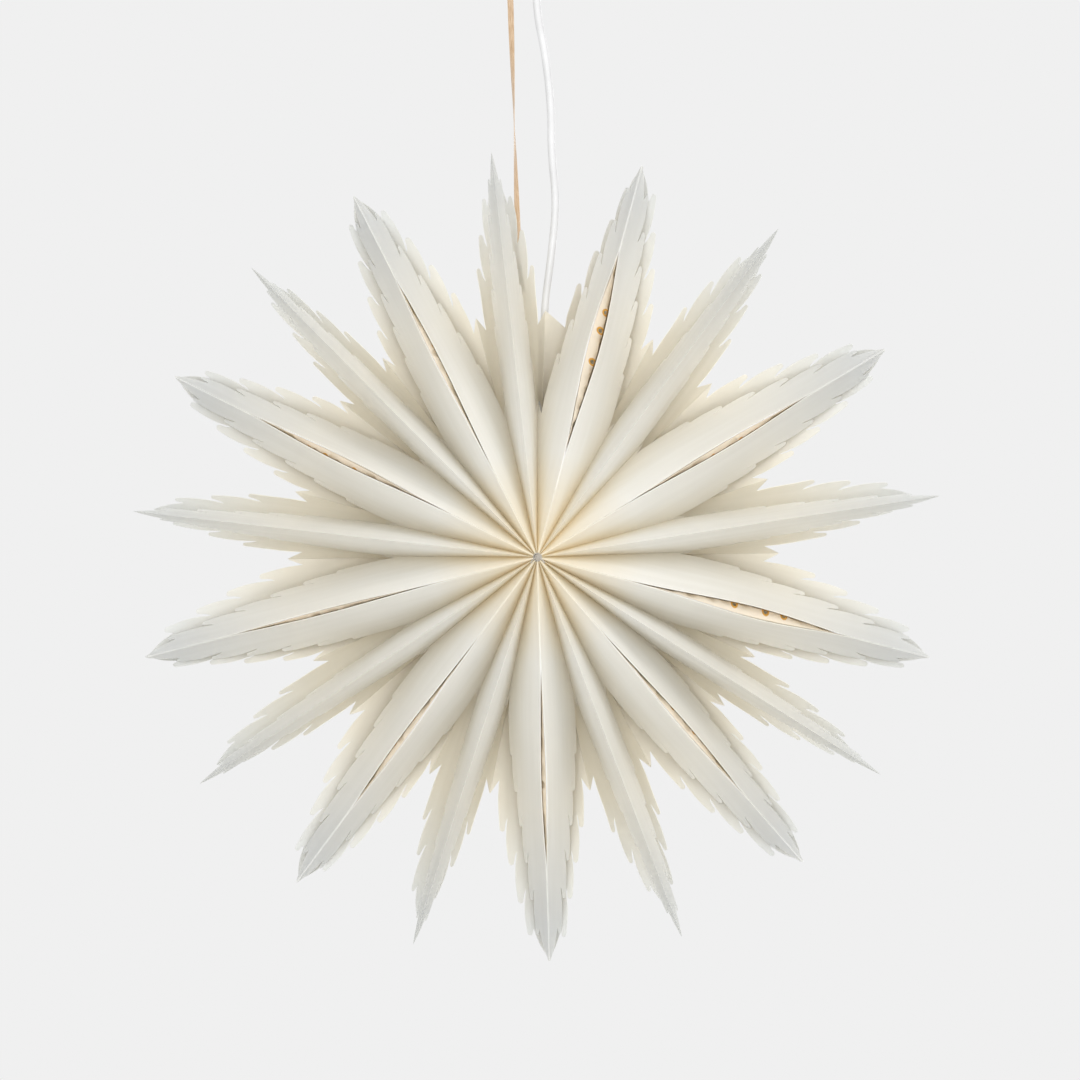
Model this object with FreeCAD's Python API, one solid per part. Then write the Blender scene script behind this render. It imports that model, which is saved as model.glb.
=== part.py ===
import FreeCAD, Part
import math
import os

os.makedirs("parts", exist_ok=True)

# Fold-flat paper star pendant: nine paper bags in a ring make eighteen points.
# Millimetres, +Z up, the star's front faces -Y.
# The origin is on the ceiling, on the axis of the hook's screw shank.

V = FreeCAD.Vector

# ---- driving dimensions: the paper star ----
HUB_DROP = 508.0            # ceiling to the star's centre
TIP_RADIUS = 300.0          # centre to the front and wide tips
BACK_NARROW_RADIUS = 288.0  # centre to the shorter tips behind the narrow points
HUB_HALF_DEPTH = 75.0       # centre to each tied corner, front and back
WIDE_TIP_DEPTH = 10.0       # half the distance between the two tips of a wide point
NARROW_TIP_DEPTH = 22.0     # centre plane to a narrow front tip
BACK_NARROW_DEPTH = 26.0    # centre plane to a narrow back tip
FIRST_RIDGE = -0.1          # angle of the first wide ridge from straight down, degrees
BAG_SPANS = (39.3, 34.6, 45.2, 44.2, 42.0, 36.6, 40.8, 39.1)  # the ninth bag takes the rest
RIDGE_SHARES = (0.486, 0.480, 0.509, 0.518, 0.512, 0.484, 0.490, 0.499, 0.490)
FRONT_FOLD_SHARE = 0.70     # valley's place between a wide and a narrow ridge
FRONT_FOLD_RADIUS = 115.5   # where the front valley folds end
FRONT_FOLD_DEPTH = 4.0      # how far behind the centre plane they end
BACK_FOLD_SHARE = 0.61
BACK_FOLD_RADIUS = 183.0
BACK_FOLD_DEPTH = 0.0
BACK_SHIFT_X = -3.0         # the back pleats sit a little to the left of the front ones
BACK_SHIFT_Y = 3.6
BACK_SHIFT_Z = 3.6          # and a little higher
LEVEL_BAGS = (3, 4)         # in these bags they sit straight behind
PAPER = 0.5
SIDE_PAPER = 0.6            # two glued sheets between neighbouring bags
CUT_GAP = 0.1               # each bag stops this far from the plane of its side wall
SIDE_INSET = 1.4            # side wall back from the ridge lines
HUB_TRIM = 3.0              # open corner that the thread tie fills

# ---- driving dimensions: cut edge of the leaves ----
FIRST_TOOTH = 15.0          # tip of the leaf back to its first tooth
TOOTH_PITCH = 26.0
SLOT_LENGTH = 13.0          # slot runs this far back under the next tooth
FOLD_SLOT_LENGTH = 11.0
FOLD_SLOT_WIDTH = 7.5
TOOTH_STEP = 1.0            # least step from one tooth's edge to the next slot
FRONT_TAPER = 0.73          # share of the leaf's half width lost at its tip
FRONT_TAPER_POWER = 1.34
BACK_TAPER = 0.705
BACK_TAPER_POWER = 0.98
SLIM_BAG = 4                # this bag's first wide leaf, beside the cord, is slimmer
SLIM_TAPER = 0.88
SLIM_FRONT_POWER = 1.0
SLIM_BACK_POWER = 0.45

# ---- driving dimensions: side walls, ties and closure ----
HOLLOW_RADIUS = 85.0        # the side walls stop here, round the bulb
HOLLOW_CORNER = 45.0        # and here, along the ridges
END_NOTCH = 18.0            # notch in the side wall's outer end
HOLE_RADII = (105.0, 148.0, 172.0, 186.0, 220.0, 262.0)
HOLE_SETBACK = 9.0          # ridge to the punched holes
HOLE_DIAMETER = 5.6
TIE_CLEARANCE = 0.3
TIE_KNOT_RADIUS = 3.2
TIE_LENGTH = 8.0
TIE_HEAD = 2.0              # tie's length outside the paper corner
TIE_KNOT_LIFT = 1.0
CLOSURE_WALL = 4            # the bag ring is opened and closed here
DOT_RADII = (125.0, 160.0, 205.0)
DOT_DIAMETER = 11.0
DOT_THICKNESS = 1.6

# ---- driving dimensions: lamp ----
LAMP_X = 1.0
LAMP_Y = 18.0
LAMP_TOP = 72.0             # top of the cord nipple, above the star's centre
NIPPLE_HEIGHT = 8.0
NIPPLE_STEM = 4.5
NIPPLE_TAIL = 2.0
NIPPLE_FLANGE = 6.2
NIPPLE_FLANGE_HEIGHT = 2.5
CORD_COLLAR = 1.2           # wall round the cord at the nipple and the gland
CAP_HEIGHT = 18.0
CAP_SHOULDER = 5.0
HOLDER_RADIUS = 14.0
HOLDER_WALL = 1.8
HOLDER_HEIGHT = 32.0
LEDGE_WIDTH = 1.5           # ledge that the shade ring turns against
LEDGE_HEIGHT = 2.0
RING_LIFT = 6.0             # body's lower edge to the shade ring
RING_RADIUS = 19.0
RING_HEIGHT = 8.0
RING_LIP = 3.0
RING_WALL = 1.6
RING_CLEARANCE = 0.3
RING_NOTCHES = 12
RING_NOTCH_RADIUS = 1.4
RING_NOTCH_OFFSET = 0.6
INSERT_HEIGHT = 9.0
INSERT_HOLE_X = 6.5
INSERT_HOLE_RADIUS = 1.6
INSERT_HOLE_DEPTH = 5.0
TONGUE_LENGTH = 10.0
TONGUE_WIDTH = 4.0
TONGUE = 0.8
CONTACT_GAP = 0.3
TIP_HEIGHT = 2.0
TIP_RADIUS_METAL = 2.2
SCREW_RADIUS = 6.9          # small screw cap of the bulb
SCREW_SHOW = 2.0            # screw cap below the body
SCREW_CHAMFER = 2.5
SCREW_CHAMFER_HEIGHT = 1.5
SCREW_CLEARANCE = 0.3
SHELL_WALL = 0.5
SHELL_SETBACK = 1.0
GLOBE_RADIUS = 22.5
GLOBE_NECK = 7.5
NECK_INSET = 0.4
GLASS = 0.8

# ---- driving dimensions: cord and ribbon ----
CORD_DIAMETER = 5.6
CORD_SLOT_START = 95.0      # slot in the back valley fold, for the cord
CORD_SLOT_END = 123.0
CORD_SLOT_CLEARANCE = 3.2
RIBBON_X = -7.2
RIBBON_WIDTH = 4.5
RIBBON_THICKNESS = 0.6
RIBBON_FOOT = 213.0         # height over the centre at which the ribbon meets its tab
TAB_WIDTH = 9.0
TAB_LENGTH = 20.0
TAB_THICKNESS = 0.5
TAB_RISE = 6.0              # tab above the point where the ribbon leaves it
RIBBON_LAP = 25.0           # ribbon glued down the tab
BEND_SHARE = 0.45           # part of each run that its bend takes up

# ---- driving dimensions: ceiling parts ----
SHANK_RADIUS = 2.5
SHANK_LENGTH = 35.0
COLLAR_RADIUS = 8.0
COLLAR_THICKNESS = 2.0
HOOK_RADIUS = 9.0
HOOK_WIRE = 1.75
HOOK_NECK = 4.0
LINK_RADIUS = 6.5
LINK_WIRE = 1.0
EYE_RADIUS = 5.5
LINK_GAP = 0.3
CUP_RADIUS = 40.0
CUP_WALL = 2.0
CUP_TOP = 14.0              # ceiling to the cup's rim
CUP_BOTTOM = 70.0           # ceiling to the cup's base
CUP_CORNER = 9.0
BAR_WIDTH = 14.0
BAR_THICKNESS = 2.0
BAR_TAB = 11.0
BAR_GAP = 0.8               # bar's end to the cup's inside
SCREW_LIFT = 6.8            # bar's underside to the cup screws
SCREW_HEAD_RADIUS = 3.0
SCREW_HEAD = 1.8
SCREW_REACH = 3.0
STUD_RADIUS = 1.5
STUD_END = 1.0              # stud past its nut
SEAT_WIDTH = 1.2
SEAT_HEIGHT = 1.2
NUT_RADIUS = 3.0
NUT_HEIGHT = 2.4
NUT_GAP = 0.05
GLAND_RADIUS = 8.0
GLAND_STEM = 5.0
GLAND_NOSE = 6.0
GLAND_RIM = 2.0
GLAND_NUT = 7.5
GLAND_NUT_HEIGHT = 5.0
BLOCK_SIZE = (20.0, 16.0, 11.0)
BLOCK_BORE = 2.0
SMALL_EYE_RADIUS = 4.0
SMALL_EYE_WIRE = 0.8
SMALL_EYE_DROP = 1.0
KNOT_RADIUS = 3.0
KNOT_HEIGHT = 4.8
KNOT_ROUNDING = 1.4
FIT_GAP = 0.2

# Route of the cord from the lampholder up to the ceiling cup, from the star's centre.
CORD_POINTS = (
    (1.0, 18.0, 72.0),
    (1.0, 18.0, 83.0),
    (3.2, 24.5, 95.0),
    (6.2, 32.2, 107.0),
    (7.8, 32.4, 121.0),
    (8.8, 26.2, 137.0),
    (9.8, 17.5, 160.0),
    (11.0, 10.0, 186.0),
    (18.0, 7.0, 228.0),
    (22.5, 6.0, 265.0),
    (19.6, 6.2, 300.0),
    (20.8, 7.2, 335.0),
    (17.2, 8.2, 378.0),
    (12.0, 8.0, 405.0),
    (12.0, 8.0, 432.0),
)

CENTRE = V(0, 0, -HUB_DROP)
AXIS_Y = V(0, 1, 0)
AXIS_Z = V(0, 0, 1)
REACH = TIP_RADIUS * 1.3    # past every tip, for the trimming wedges


def export(name, shape):
    shape.exportStep(os.path.join("parts", name + ".step"))


def fused(shapes):
    return shapes[0].multiFuse(shapes[1:]).removeSplitter()


def radial(angle):
    """Unit vector in the star's plane, at an angle from straight down."""
    turn = math.radians(angle)
    return V(math.sin(turn), 0, -math.cos(turn))


def star_point(angle, radius, depth):
    return CENTRE + radial(angle) * radius + AXIS_Y * depth


def cylinder(radius, height, base, axis=AXIS_Z):
    return Part.makeCylinder(radius, height, base, axis)


def revolved(outline, centre):
    """Solid of revolution about a vertical axis; the outline is (radius, height) pairs."""
    points = [centre + V(r, 0, z) for r, z in outline]
    face = Part.Face(Part.makePolygon(points + [points[0]]))
    return face.revolve(centre, AXIS_Z, 360)


def ring(radius, wire, centre, normal):
    return Part.makeTorus(radius, wire, centre, normal)


# ---- the bags' angles ----
def bag_angles():
    spans = list(BAG_SPANS)
    spans.append(360.0 - sum(spans))
    wide = [FIRST_RIDGE]
    for span in spans:
        wide.append(wide[-1] + span)
    narrow = [wide[i] + spans[i] * RIDGE_SHARES[i] for i in range(len(spans))]
    return wide, narrow


WIDE, NARROW = bag_angles()
BAGS = len(NARROW)


# ---- cut edge of one leaf panel, in the flat sheet ----
def tooth_places(length, fold_x):
    """Distances along the ridge of the tooth tips, from the outermost inwards."""
    places = []
    x = length - FIRST_TOOTH
    while x - SLOT_LENGTH > fold_x + PAPER + SLOT_LENGTH / 2:
        places.append(x)
        x -= TOOTH_PITCH
    return places


def leaf_outline(length, fold_x, fold_d, taper, power):
    """Flat outline (along the ridge, away from it) from the hub round by the tip."""
    outline = [(0.0, 0.0), (length, 0.0)]
    width_before = None
    for x in tooth_places(length, fold_x):
        share = (x - fold_x) / (length - fold_x)
        width = fold_d * (1 - taper * share ** power)
        if width_before is None:
            outline.append((x - SLOT_LENGTH * 0.6, width * 0.7))
        else:
            outline.append((x - SLOT_LENGTH, width_before))
        outline.append((x, width))
        width_before = width
    slot_d = fold_d - FOLD_SLOT_WIDTH
    if width_before is not None:
        slot_d = min(slot_d, width_before - TOOTH_STEP)
    outline.append((fold_x - FOLD_SLOT_LENGTH, slot_d))
    outline.append((fold_x, fold_d))
    return outline


def panel(hub, tip, fold_end, taper, power):
    """One flat paper panel between a ridge and a valley fold."""
    along = (tip - hub).normalize()
    to_fold = fold_end - hub
    fold_x = to_fold.dot(along)
    across = (to_fold - along * fold_x)
    fold_d = across.Length
    across = across.normalize()
    outline = leaf_outline((tip - hub).Length, fold_x, fold_d, taper, power)
    points = [hub + along * x + across * d for x, d in outline]
    face = Part.Face(Part.makePolygon(points + [points[0]]))
    normal = along.cross(across).normalize()
    face.translate(normal * (-PAPER / 2))
    return face.extrude(normal * PAPER)


# ---- one pleated wall of a bag ----
def wedge(bag, outer):
    """Room of one bag, short of the planes of its two side walls."""
    mid = (WIDE[bag] + WIDE[bag + 1]) / 2
    half_span = math.radians(WIDE[bag + 1] - WIDE[bag]) / 2
    start = CENTRE + radial(mid) * (CUT_GAP / math.sin(half_span))
    corners = [start, start + radial(WIDE[bag]) * outer, start + radial(WIDE[bag + 1]) * outer]
    face = Part.Face(Part.makePolygon(corners + [corners[0]]))
    face.translate(V(0, -outer, 0))
    return face.extrude(V(0, 2 * outer, 0))


def shift(bag, side):
    """The back pleats' slip against the front ones."""
    if side < 0 or bag in LEVEL_BAGS:
        return V(0, 0, 0)
    return V(BACK_SHIFT_X, BACK_SHIFT_Y, BACK_SHIFT_Z)


def narrow_tip(bag, side):
    if side < 0:
        return star_point(NARROW[bag], TIP_RADIUS, -NARROW_TIP_DEPTH)
    return star_point(NARROW[bag], BACK_NARROW_RADIUS, BACK_NARROW_DEPTH) + shift(bag, side)


def fold_point(bag, wide_index, side):
    """Outer end of the valley fold between a wide ridge and the bag's narrow one."""
    back = side > 0
    share = BACK_FOLD_SHARE if back else FRONT_FOLD_SHARE
    radius = BACK_FOLD_RADIUS if back else FRONT_FOLD_RADIUS
    depth = BACK_FOLD_DEPTH if back else FRONT_FOLD_DEPTH
    angle = WIDE[wide_index] + (NARROW[bag] - WIDE[wide_index]) * share
    return star_point(angle, radius, depth) + shift(bag, side)


def wall(bag, side):
    """Front (side -1) or back (side +1) wall: four panels folded as an M."""
    back = side > 0
    taper = BACK_TAPER if back else FRONT_TAPER
    power = BACK_TAPER_POWER if back else FRONT_TAPER_POWER
    slim_power = SLIM_BACK_POWER if back else SLIM_FRONT_POWER
    hub = CENTRE + AXIS_Y * (side * HUB_HALF_DEPTH)
    panels = []
    for index in (bag, bag + 1):
        fold_end = fold_point(bag, index, side)
        wide_tip = star_point(WIDE[index], TIP_RADIUS, side * WIDE_TIP_DEPTH)
        if bag == SLIM_BAG and index == bag:
            panels.append(panel(hub, wide_tip, fold_end, SLIM_TAPER, slim_power))
        else:
            panels.append(panel(hub, wide_tip, fold_end, taper, power))
        panels.append(panel(hub, narrow_tip(bag, side), fold_end, taper, power))
    sheet = panels[0].multiFuse(panels[1:])
    sheet = sheet.common(wedge(bag, REACH))
    corner = hub - AXIS_Y * HUB_HALF_DEPTH
    sheet = sheet.cut(cylinder(HUB_TRIM, 2 * HUB_HALF_DEPTH, corner, AXIS_Y))
    if back and bag == CLOSURE_WALL:
        sheet = sheet.cut(cord_slot())
    return sheet


def cord_slot():
    """Long hole along the back valley fold that the cord comes in by."""
    fold_end = fold_point(CLOSURE_WALL, CLOSURE_WALL, 1)
    along = V(fold_end.x - CENTRE.x, 0, fold_end.z - CENTRE.z).normalize()
    half_width = CORD_DIAMETER / 2 + CORD_SLOT_CLEARANCE
    start = CENTRE + along * (CORD_SLOT_START + half_width)
    end = CENTRE + along * (CORD_SLOT_END - half_width)
    sideways = along.cross(AXIS_Y).normalize() * half_width
    corners = [start + sideways, end + sideways, end - sideways, start - sideways]
    middle = Part.Face(Part.makePolygon(corners + [corners[0]]))
    middle = middle.extrude(AXIS_Y * HUB_HALF_DEPTH)
    ends = [cylinder(half_width, HUB_HALF_DEPTH, p, AXIS_Y) for p in (start, end)]
    return middle.multiFuse(ends)


# ---- the glued side walls between the bags ----
def ridge_depth(radius):
    """Half the distance between the front and back wide ridges."""
    return HUB_HALF_DEPTH - (HUB_HALF_DEPTH - WIDE_TIP_DEPTH) * radius / TIP_RADIUS


def side_wall(index):
    angle = WIDE[index]
    inner_depth = ridge_depth(HOLLOW_CORNER) - SIDE_INSET
    outer_radius = TIP_RADIUS - SIDE_INSET
    outer_depth = ridge_depth(outer_radius) - SIDE_INSET
    front_in = star_point(angle, HOLLOW_CORNER, -inner_depth)
    front_out = star_point(angle, outer_radius, -outer_depth)
    notch = star_point(angle, outer_radius - END_NOTCH, 0)
    back_out = star_point(angle, outer_radius, outer_depth)
    back_in = star_point(angle, HOLLOW_CORNER, inner_depth)
    hollow = star_point(angle, HOLLOW_RADIUS, 0)
    edges = [
        Part.makeLine(front_in, front_out),
        Part.makeLine(front_out, notch),
        Part.makeLine(notch, back_out),
        Part.makeLine(back_out, back_in),
        Part.Arc(back_in, hollow, front_in).toShape(),
    ]
    face = Part.Face(Part.Wire(edges))
    across = radial(angle).cross(AXIS_Y).normalize()
    face.translate(across * (-SIDE_PAPER / 2))
    sheet = face.extrude(across * SIDE_PAPER)
    for radius in HOLE_RADII:
        for side in (-1, 1):
            start = star_point(angle, radius, side * (ridge_depth(radius) - HOLE_SETBACK))
            start = start - across * SIDE_PAPER
            sheet = sheet.cut(cylinder(HOLE_DIAMETER / 2, 2 * SIDE_PAPER, start, across))
    return sheet


def closure_dots():
    """Hook-and-loop dots that hold the ring of bags shut."""
    angle = WIDE[CLOSURE_WALL]
    across = radial(angle + 90)
    dots = []
    for radius in DOT_RADII:
        base = star_point(angle, radius, 0) + across * (SIDE_PAPER / 2)
        dots.append(cylinder(DOT_DIAMETER / 2, DOT_THICKNESS, base, across))
    return Part.makeCompound(dots)


def thread_tie(side):
    """Thread wound through the paper corners, with its knot outside."""
    outward = AXIS_Y * side
    corner = CENTRE + outward * HUB_HALF_DEPTH
    core = cylinder(HUB_TRIM - TIE_CLEARANCE, TIE_LENGTH, corner + outward * TIE_HEAD, outward * -1)
    knot = Part.makeSphere(TIE_KNOT_RADIUS, corner + outward * (TIE_KNOT_RADIUS + TIE_KNOT_LIFT))
    return core.fuse(knot)


# ---- the lamp ----
LAMP = CENTRE + V(LAMP_X, LAMP_Y, 0)
CAP_TOP = LAMP_TOP - NIPPLE_HEIGHT
BODY_TOP = CAP_TOP - CAP_HEIGHT
BODY_BOTTOM = BODY_TOP - HOLDER_HEIGHT
BORE = HOLDER_RADIUS - HOLDER_WALL
INSERT_TOP = BODY_TOP - FIT_GAP
INSERT_BOTTOM = INSERT_TOP - INSERT_HEIGHT
TIP_TOP = INSERT_BOTTOM - TONGUE - CONTACT_GAP
SCREW_TOP = TIP_TOP - TIP_HEIGHT
SCREW_BOTTOM = BODY_BOTTOM - SCREW_SHOW


def cord_nipple():
    tail = CAP_TOP - HOLDER_WALL - NIPPLE_TAIL
    outline = [
        (0, tail), (NIPPLE_STEM, tail), (NIPPLE_STEM, CAP_TOP), (NIPPLE_FLANGE, CAP_TOP),
        (NIPPLE_FLANGE, CAP_TOP + NIPPLE_FLANGE_HEIGHT),
        (CORD_DIAMETER / 2 + CORD_COLLAR, LAMP_TOP), (0, LAMP_TOP),
    ]
    return revolved(outline, LAMP)


def holder_cap():
    inner_shoulder = CAP_SHOULDER - HOLDER_WALL / 2
    outline = [
        (NIPPLE_STEM + FIT_GAP, CAP_TOP), (HOLDER_RADIUS - CAP_SHOULDER, CAP_TOP),
        (HOLDER_RADIUS, CAP_TOP - CAP_SHOULDER), (HOLDER_RADIUS, BODY_TOP), (BORE, BODY_TOP),
        (BORE, CAP_TOP - HOLDER_WALL - inner_shoulder), (BORE - inner_shoulder, CAP_TOP - HOLDER_WALL),
        (NIPPLE_STEM + FIT_GAP, CAP_TOP - HOLDER_WALL),
    ]
    return revolved(outline, LAMP)


def holder_body():
    tube = [(BORE, BODY_BOTTOM), (HOLDER_RADIUS, BODY_BOTTOM), (HOLDER_RADIUS, BODY_TOP), (BORE, BODY_TOP)]
    ledge = HOLDER_RADIUS + RING_CLEARANCE + LEDGE_WIDTH
    low = BODY_BOTTOM + RING_LIFT + RING_HEIGHT + RING_CLEARANCE
    high = low + LEDGE_HEIGHT
    collar = [(BORE, low), (ledge, low), (ledge, high), (BORE, high)]
    return fused([revolved(tube, LAMP), revolved(collar, LAMP)])


def holder_ring():
    bottom = BODY_BOTTOM + RING_LIFT
    bore = HOLDER_RADIUS + RING_CLEARANCE
    neck = bore + RING_WALL
    outline = [
        (bore, bottom), (RING_RADIUS, bottom), (RING_RADIUS, bottom + RING_LIP),
        (neck, bottom + RING_LIP + 1), (neck, bottom + RING_HEIGHT), (bore, bottom + RING_HEIGHT),
    ]
    body = revolved(outline, LAMP)
    for i in range(RING_NOTCHES):
        turn = math.radians(360.0 * i / RING_NOTCHES)
        outward = V(math.cos(turn), math.sin(turn), 0)
        spot = LAMP + outward * (RING_RADIUS + RING_NOTCH_OFFSET) + AXIS_Z * (bottom - 1)
        body = body.cut(cylinder(RING_NOTCH_RADIUS, RING_LIP + 2, spot))
    return body


def holder_insert():
    """Ceramic block that carries the contacts, seated against the top of the body."""
    block = cylinder(BORE - FIT_GAP, INSERT_HEIGHT, LAMP + AXIS_Z * INSERT_BOTTOM)
    for side in (-1, 1):
        spot = LAMP + V(side * INSERT_HOLE_X, 0, INSERT_TOP - INSERT_HOLE_DEPTH)
        block = block.cut(cylinder(INSERT_HOLE_RADIUS, INSERT_HEIGHT, spot))
    return block


def contact_tongue():
    corner = LAMP + V(-TONGUE_LENGTH / 2, -TONGUE_WIDTH / 2, INSERT_BOTTOM - TONGUE)
    return Part.makeBox(TONGUE_LENGTH, TONGUE_WIDTH, TONGUE, corner)


def screw_shell():
    inner = SCREW_RADIUS + SCREW_CLEARANCE
    outline = [
        (inner, BODY_BOTTOM + SHELL_SETBACK), (inner + SHELL_WALL, BODY_BOTTOM + SHELL_SETBACK),
        (inner + SHELL_WALL, INSERT_BOTTOM), (inner, INSERT_BOTTOM),
    ]
    return revolved(outline, LAMP)


def bulb_cap():
    outline = [
        (0, SCREW_BOTTOM), (SCREW_RADIUS, SCREW_BOTTOM), (SCREW_RADIUS, SCREW_TOP - SCREW_CHAMFER_HEIGHT),
        (SCREW_RADIUS - SCREW_CHAMFER, SCREW_TOP), (0, SCREW_TOP),
    ]
    return revolved(outline, LAMP)


def bulb_tip():
    return cylinder(TIP_RADIUS_METAL, TIP_HEIGHT, LAMP + AXIS_Z * SCREW_TOP)


def bulb_globe():
    """Blown glass ball with its neck; the outline is an arc and a straight neck."""
    neck = SCREW_RADIUS - NECK_INSET
    rise = math.sqrt(GLOBE_RADIUS ** 2 - neck ** 2)
    centre = LAMP + AXIS_Z * (SCREW_BOTTOM - GLOBE_NECK - rise)

    def blown(radius, neck_radius):
        ball = Part.makeSphere(radius, centre)
        stem = cylinder(neck_radius, rise + GLOBE_NECK, centre)
        return ball.fuse(stem)

    inside = blown(GLOBE_RADIUS - GLASS, neck - GLASS)
    return blown(GLOBE_RADIUS, neck).cut(inside)


# ---- cord: straight runs joined by tangent arcs ----
def rounded_route(points):
    """Path wire, its arc radii and its length."""
    edges = []
    radii = []
    last = points[0]
    for i in range(1, len(points) - 1):
        before = points[i - 1] - points[i]
        after = points[i + 1] - points[i]
        run_in = before.Length
        run_out = after.Length
        before = before.normalize()
        after = after.normalize()
        turn = math.pi - before.getAngle(after)
        setback = BEND_SHARE * min(run_in, run_out)
        radii.append(setback / math.tan(turn / 2))
        start = points[i] + before * setback
        end = points[i] + after * setback
        bisector = (before + after).normalize()
        to_centre = math.hypot(setback, radii[-1])
        middle = points[i] + bisector * (to_centre - radii[-1])
        edges.append(Part.LineSegment(last, start).toShape())
        edges.append(Part.Arc(start, middle, end).toShape())
        last = end
    edges.append(Part.LineSegment(last, points[-1]).toShape())
    wire = Part.Wire(edges)
    return wire, radii, wire.Length


def lamp_cord():
    points = [CENTRE + V(*p) for p in CORD_POINTS]
    wire, radii, length = rounded_route(points)
    start_dir = (points[1] - points[0]).normalize()
    section = Part.Wire(Part.makeCircle(CORD_DIAMETER / 2, points[0], start_dir))
    tube = wire.makePipeShell([section], True, True)
    expected = math.pi * (CORD_DIAMETER / 2) ** 2 * length
    print("cord length %.1f mm, least radius %.1f mm" % (length, min(radii)))
    print("cord radii " + " ".join("%.0f" % r for r in radii))
    print("cord volume over section times length %.4f" % (tube.Volume / expected))
    return tube


# ---- ribbon and its glued tab on the back of the top leaf ----
def tab_frame():
    """Back face of the leaf panel that the tab is glued to."""
    hub = CENTRE + AXIS_Y * HUB_HALF_DEPTH
    tip = narrow_tip(CLOSURE_WALL, 1)
    fold_end = fold_point(CLOSURE_WALL, CLOSURE_WALL, 1)
    normal = (tip - hub).cross(fold_end - hub).normalize()
    if normal.y < 0:
        normal = normal * -1
    level = CENTRE.z + RIBBON_FOOT
    depth = hub.y - (normal.x * (RIBBON_X - hub.x) + normal.z * (level - hub.z)) / normal.y
    down = (V(0, 0, -1) - normal * V(0, 0, -1).dot(normal)).normalize()
    return V(RIBBON_X, depth, level) + normal * (PAPER / 2), normal, down


TAB_SPOT, TAB_NORMAL, TAB_DOWN = tab_frame()
RIBBON_Y = TAB_SPOT.y


def ribbon_tab():
    across = TAB_NORMAL.cross(TAB_DOWN).normalize()
    corner = TAB_SPOT - TAB_DOWN * TAB_RISE - across * (TAB_WIDTH / 2)
    corners = [
        corner, corner + across * TAB_WIDTH,
        corner + across * TAB_WIDTH + TAB_DOWN * TAB_LENGTH, corner + TAB_DOWN * TAB_LENGTH,
    ]
    face = Part.Face(Part.makePolygon(corners + [corners[0]]))
    return face.extrude(TAB_NORMAL * TAB_THICKNESS)


KNOT_TOP = -CUP_BOTTOM - SMALL_EYE_DROP - 2 * SMALL_EYE_RADIUS - 2 * SMALL_EYE_WIRE - FIT_GAP
KNOT_BOTTOM = KNOT_TOP - KNOT_HEIGHT


def hanging_ribbon():
    """Flat ribbon, pulled straight by the star's weight, cut to lie on its tab."""
    height = KNOT_BOTTOM - TAB_SPOT.z + RIBBON_LAP
    corner = V(RIBBON_X - RIBBON_WIDTH / 2, RIBBON_Y - RIBBON_THICKNESS / 2, TAB_SPOT.z - RIBBON_LAP)
    band = Part.makeBox(RIBBON_WIDTH, RIBBON_THICKNESS, height, corner)
    plane = Part.Plane(TAB_SPOT + TAB_NORMAL * TAB_THICKNESS, TAB_NORMAL)
    side = 4 * RIBBON_LAP
    cutter = plane.toShape(-side, side, -side, side).extrude(TAB_NORMAL * -side)
    print("ribbon length %.1f mm" % (KNOT_BOTTOM - TAB_SPOT.z))
    return band.cut(cutter)


def ribbon_knot():
    knot = cylinder(KNOT_RADIUS, KNOT_HEIGHT, V(RIBBON_X, RIBBON_Y, KNOT_BOTTOM))
    rims = [e for e in knot.Edges if e.Curve.TypeId == "Part::GeomCircle"]
    return knot.makeFillet(KNOT_ROUNDING, rims)


# ---- ceiling parts ----
BOWL_WIRE_Z = -COLLAR_THICKNESS - HOOK_NECK - 2 * HOOK_RADIUS
LINK_Z = BOWL_WIRE_Z + HOOK_WIRE + LINK_GAP + LINK_WIRE - LINK_RADIUS
LINK_BOTTOM = LINK_Z - LINK_RADIUS
EYE_Z = LINK_BOTTOM + 2 * LINK_WIRE + LINK_GAP - EYE_RADIUS
BAR_TOP = EYE_Z - EYE_RADIUS - LINK_WIRE
BAR_BOTTOM = BAR_TOP - BAR_THICKNESS
BAR_REACH = CUP_RADIUS - CUP_WALL - BAR_GAP
SCREW_Z = BAR_BOTTOM + SCREW_LIFT


def ceiling_hook():
    shank = cylinder(SHANK_RADIUS, SHANK_LENGTH, V(0, 0, 0))
    collar = cylinder(COLLAR_RADIUS, COLLAR_THICKNESS, V(0, 0, -COLLAR_THICKNESS))
    neck_top = V(0, 0, -COLLAR_THICKNESS - HOOK_NECK)
    neck = cylinder(HOOK_WIRE, HOOK_NECK, neck_top)
    section = Part.Face(Part.Wire(Part.makeCircle(HOOK_WIRE, neck_top, V(1, 0, 0))))
    centre = neck_top - AXIS_Z * HOOK_RADIUS
    bowl = section.revolve(centre, AXIS_Y, 270)
    end = centre - V(HOOK_RADIUS, 0, 0)
    ends = [Part.makeSphere(HOOK_WIRE, neck_top), Part.makeSphere(HOOK_WIRE, end)]
    return fused([shank, collar, neck, bowl] + ends)


def hanging_link():
    return ring(LINK_RADIUS, LINK_WIRE, V(0, 0, LINK_Z), V(1, 0, 0))


def hanger_eye():
    """Eye bolt through the crossbar."""
    loop = ring(EYE_RADIUS, LINK_WIRE, V(0, 0, EYE_Z), AXIS_Y)
    stud_length = LINK_WIRE + BAR_THICKNESS + NUT_HEIGHT + STUD_END
    stud = cylinder(STUD_RADIUS, stud_length, V(0, 0, BAR_TOP + LINK_WIRE - stud_length))
    seat = cylinder(STUD_RADIUS + SEAT_WIDTH, SEAT_HEIGHT, V(0, 0, BAR_TOP))
    return fused([loop, stud, seat])


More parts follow.
